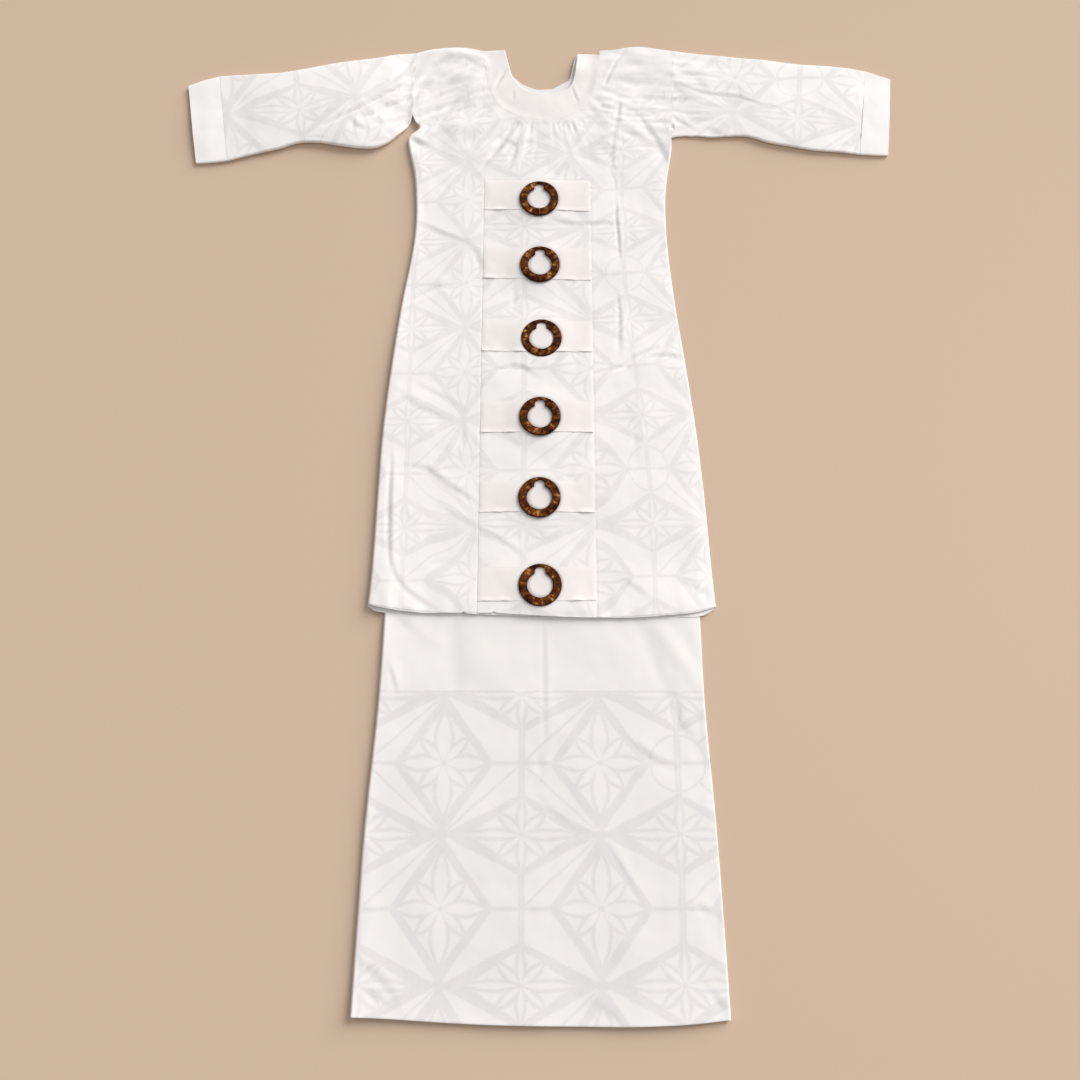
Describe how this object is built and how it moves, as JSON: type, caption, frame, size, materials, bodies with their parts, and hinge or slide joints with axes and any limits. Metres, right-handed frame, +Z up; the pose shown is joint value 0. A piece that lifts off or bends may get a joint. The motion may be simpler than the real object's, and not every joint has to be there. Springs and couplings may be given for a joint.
{
  "type": "puletasi tunic and skirt set, laid flat",
  "caption": "Samoan puletasi laid flat: long printed tunic with sleeves, plain bands, cuffs and neckband and shell rings, over a straight printed skirt",
  "frame": {"origin": "under the centre of the laid-out set, on the surface that it lies on", "axes": "+X to the wearer's left, +Y from the skirt's hem towards the neck, +Z up off the surface, out of the garment's front"},
  "size_m": [1.113, 1.4456, 0.0126],
  "materials": {
    "printed_cloth": "white cotton blend with a pale lilac-grey lattice print, smooth with a faint sheen",
    "plain_cloth": "plain matte white cotton blend, slightly lilac",
    "shell": "polished dark brown coconut shell with amber flecks, glossy"
  },
  "bodies": {
    "root": {"tunic_front": "printed_cloth", "tunic_back": "printed_cloth", "sleeve_right": "printed_cloth", "sleeve_left": "printed_cloth", "front_panel": "printed_cloth", "skirt_front": "printed_cloth", "skirt_back": "printed_cloth", "skirt_waistband": "plain_cloth", "neckband_front": "plain_cloth", "neckband_back": "plain_cloth", "cuff_right": "plain_cloth", "cuff_left": "plain_cloth", "band_1": "plain_cloth", "band_2": "plain_cloth", "band_3": "plain_cloth", "band_4": "plain_cloth", "band_5": "plain_cloth", "band_6": "plain_cloth", "ring_1": "shell", "ring_2": "shell", "ring_3": "shell", "ring_4": "shell", "ring_5": "shell", "ring_6": "shell"}
  },
  "joints": []
}
